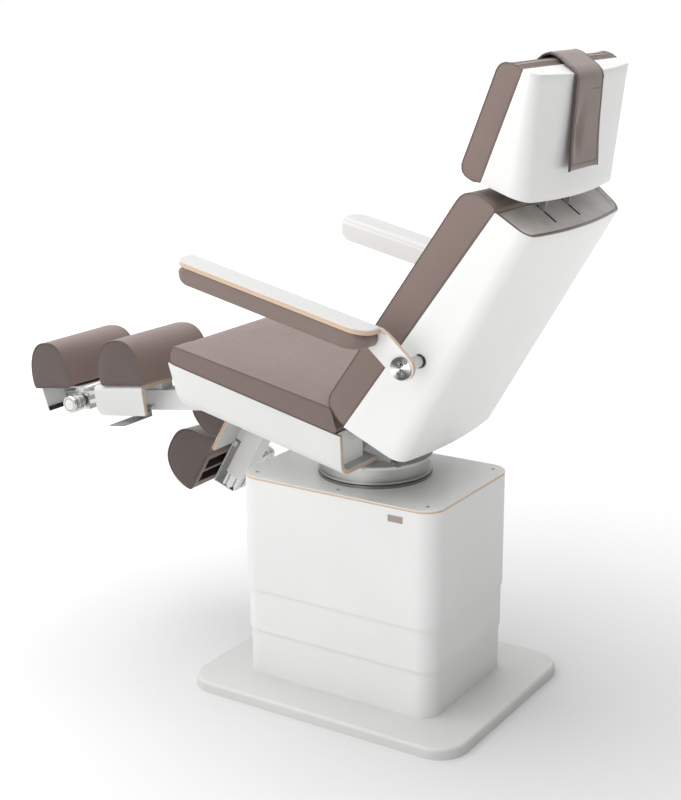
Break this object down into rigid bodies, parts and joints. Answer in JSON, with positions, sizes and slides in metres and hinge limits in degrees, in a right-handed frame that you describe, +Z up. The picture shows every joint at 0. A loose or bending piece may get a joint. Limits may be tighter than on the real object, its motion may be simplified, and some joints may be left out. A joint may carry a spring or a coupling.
{
  "type": "podiatry chair",
  "caption": "Treatment chair with bent plywood shells on a lifting column, with a turntable, folding armrests, a strapped headrest and split leg rests.",
  "frame": {"origin": "on the floor under the middle of the base plate", "axes": "+Z up, the sitter looks along -Y, +X is the sitter's left side"},
  "size_m": [0.87, 1.6171, 1.7401],
  "materials": {
    "base_paint": "satin pale grey powder coat",
    "column_paint": "satin white powder coat",
    "white_laminate": "white laminate on bent plywood with bare edges",
    "white_paint": "satin white powder coat",
    "leather": "soft taupe upholstery with fine grain",
    "badge": "bare taupe plate",
    "steel": "brushed",
    "frame_paint": "satin grey paint",
    "dark_plastic": "matte black",
    "cap_plastic": "matte grey",
    "black_rubber": "matte black"
  },
  "bodies": {
    "base": {"base_plate": "base_paint", "lower_sleeve": "column_paint", "lift_tube_outer": "steel"},
    "lift_middle": {"middle_sleeve": "column_paint", "lift_tube_middle": "steel"},
    "lift_top": {"upper_sleeve": "column_paint", "lift_tube_inner": "steel", "column_top_plate": "white_laminate", "top_plate_screws": "steel", "badge_plate": "badge", "turntable_base": "steel"},
    "turntable": {"turntable_drum": "steel", "turntable_flange": "white_paint", "flange_bolts": "steel", "tilt_bracket": "white_paint", "tilt_drive": "dark_plastic"},
    "seat": {"seat_frame": "frame_paint", "seat_shell": "white_laminate", "seat_cushion": "leather", "hinge_pins": "steel", "recline_actuator": "dark_plastic"},
    "recline_link": {"recline_rod": "steel"},
    "back": {"back_frame": "frame_paint", "back_shell": "white_laminate", "back_cushion": "leather", "back_cap": "cap_plastic", "armrest_bushes": "dark_plastic"},
    "headrest_tilter": {"head_carriage": "dark_plastic"},
    "headrest": {"headrest_rods": "steel", "headrest_shell": "white_laminate", "headrest_cushion": "leather", "neck_strap": "leather"},
    "armrest_left": {"armrest_board_left": "white_laminate", "armrest_pad_left": "leather", "armrest_shaft_left": "steel", "armrest_disc_left": "steel"},
    "armrest_right": {"armrest_board_right": "white_laminate", "armrest_pad_right": "leather", "armrest_shaft_right": "steel", "armrest_disc_right": "steel"},
    "leg_left": {"leg_arm_left": "white_paint", "leg_board_left": "white_laminate", "calf_cushion_left": "leather", "clamp_bracket_left": "steel"},
    "leg_right": {"leg_arm_right": "white_paint", "leg_board_right": "white_laminate", "calf_cushion_right": "leather", "clamp_bracket_right": "steel"},
    "foot_left": {"foot_rail_left": "steel", "foot_plate_left": "white_paint", "foot_strip_left": "black_rubber", "heel_cushion_left": "leather"},
    "foot_right": {"foot_rail_right": "steel", "foot_plate_right": "white_paint", "foot_strip_right": "black_rubber", "heel_cushion_right": "leather"},
    "knob_left": {"clamp_knob_left": "steel"},
    "knob_right": {"clamp_knob_right": "steel"},
    "lever_left": {"release_lever_left": "steel"},
    "lever_right": {"release_lever_right": "steel"}
  },
  "joints": [
    {"name": "lift_lower", "type": "slide", "parent": "base", "child": "lift_middle", "axis": [0, 0, 1], "range_m": [-0.124, 0.03]},
    {"name": "lift_upper", "type": "slide", "parent": "lift_middle", "child": "lift_top", "axis": [0, 0, 1], "range_m": [-0.124, 0.03]},
    {"name": "turntable_swivel", "type": "hinge", "parent": "lift_top", "child": "turntable", "pos_m": [0, -0.005, 0.65], "axis": [0, 0, 1], "range_deg": [-170, 170]},
    {"name": "seat_tilt", "type": "hinge", "parent": "turntable", "child": "seat", "pos_m": [0, 0.04047, 0.72483], "axis": [1, 0, 0], "range_deg": [-8, 12.3]},
    {"name": "back_recline", "type": "hinge", "parent": "seat", "child": "back", "pos_m": [0, 0.09026, 0.80301], "axis": [-1, 0, 0], "range_deg": [0, 24]},
    {"name": "recline_drive", "type": "slide", "parent": "seat", "child": "recline_link", "axis": [0, -0.977, 0.213], "range_m": [-0.006, 0.026]},
    {"name": "headrest_tilt", "type": "hinge", "parent": "back", "child": "headrest_tilter", "pos_m": [0, 0.47815, 1.28283], "axis": [-1, 0, 0], "range_deg": [0, 18]},
    {"name": "headrest_height", "type": "slide", "parent": "headrest_tilter", "child": "headrest", "axis": [0, 0.2419, 0.9703], "range_m": [0, 0.075]},
    {"name": "armrest_left_fold", "type": "hinge", "parent": "back", "child": "armrest_left", "pos_m": [0.3, 0.28687, 1.02007], "axis": [-1, 0, 0], "range_deg": [-25, 105]},
    {"name": "armrest_right_fold", "type": "hinge", "parent": "back", "child": "armrest_right", "pos_m": [-0.3, 0.28687, 1.02007], "axis": [-1, 0, 0], "range_deg": [-25, 105]},
    {"name": "leg_left_drop", "type": "hinge", "parent": "seat", "child": "leg_left", "pos_m": [0.14, -0.43893, 0.88258], "axis": [1, 0, 0], "range_deg": [-20, 62]},
    {"name": "leg_right_drop", "type": "hinge", "parent": "seat", "child": "leg_right", "pos_m": [-0.14, -0.43893, 0.88258], "axis": [1, 0, 0], "range_deg": [-72, 10]},
    {"name": "foot_left_slide", "type": "slide", "parent": "leg_left", "child": "foot_left", "axis": [0, -0.9903, -0.1392], "range_m": [-0.073, 0.047]},
    {"name": "foot_right_slide", "type": "slide", "parent": "leg_right", "child": "foot_right", "axis": [0, -0.5, -0.866], "range_m": [0, 0.12]},
    {"name": "clamp_knob_left_turn", "type": "hinge", "parent": "leg_left", "child": "knob_left", "pos_m": [0.275, -0.83607, 0.748], "axis": [1, 0, 0], "range_deg": [-30, 330]},
    {"name": "clamp_knob_right_turn", "type": "hinge", "parent": "leg_right", "child": "knob_right", "pos_m": [-0.275, -0.57738, 0.48677], "axis": [1, 0, 0], "range_deg": [-30, 330]},
    {"name": "release_lever_left_pull", "type": "hinge", "parent": "leg_left", "child": "lever_left", "pos_m": [0.179, -0.66321, 0.73594], "axis": [0, -0.9903, -0.1392], "range_deg": [0, 8], "stiffness_Nm_per_rad": 3, "springref_deg": -6.88},
    {"name": "release_lever_right_pull", "type": "hinge", "parent": "leg_right", "child": "lever_right", "pos_m": [-0.179, -0.46146, 0.61557], "axis": [0, 0.5, 0.866], "range_deg": [0, 8], "stiffness_Nm_per_rad": 3, "springref_deg": -6.88}
  ],
  "couplings": [
    {"joint": "lift_upper", "follows": "lift_lower", "ratio": 1},
    {"joint": "recline_drive", "follows": "back_recline", "m_per_rad": 0.055}
  ]
}
